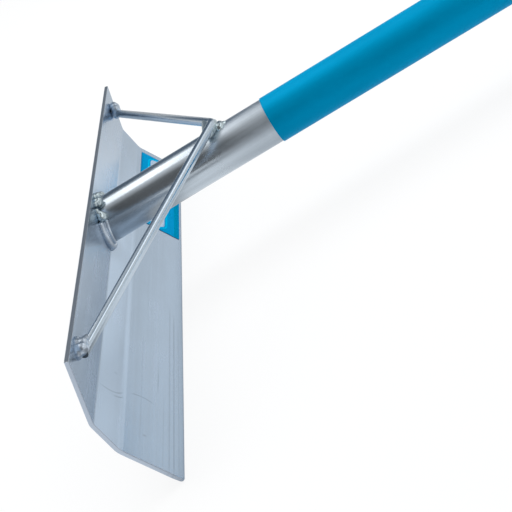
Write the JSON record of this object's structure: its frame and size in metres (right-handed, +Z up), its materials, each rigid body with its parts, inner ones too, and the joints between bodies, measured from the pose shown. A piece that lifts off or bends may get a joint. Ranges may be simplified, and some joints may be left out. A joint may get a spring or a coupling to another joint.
{
  "type": "concrete rake",
  "caption": "Long concrete rake: a bent aluminium blade welded across the end of a tube handle, with a bent rod as a brace from the blade's top strip to the top of the tube.",
  "frame": {"origin": "middle of the floor that the tool covers as it lies, on the blade's lower edge and on the rim of the plug in the handle's end", "axes": "+X along the floor from the blade to the handle's end, +Y along the blade to the right of someone who holds the handle and faces the blade, +Z up"},
  "size_m": [1.5344, 0.4952, 0.0966],
  "materials": {
    "blade": "mill finish sheet with fine lines along its length",
    "tube": "drawn tube, bright satin",
    "rod": "bright drawn rod",
    "weld": "bare weld bead, bright and rippled",
    "sleeve": "satin blue skin",
    "label": "blue and white sticker",
    "plug": "black moulded plastic"
  },
  "bodies": {
    "root": {"blade": "blade", "handle_tube": "tube", "handle_sleeve": "sleeve", "handle_end_plug": "plug", "brace_rod": "rod", "tube_weld_upper": "weld", "tube_weld_lower": "weld", "brace_weld_left": "weld", "brace_weld_right": "weld", "apex_weld_front": "weld", "apex_weld_back": "weld", "blade_label": "label"}
  },
  "joints": []
}
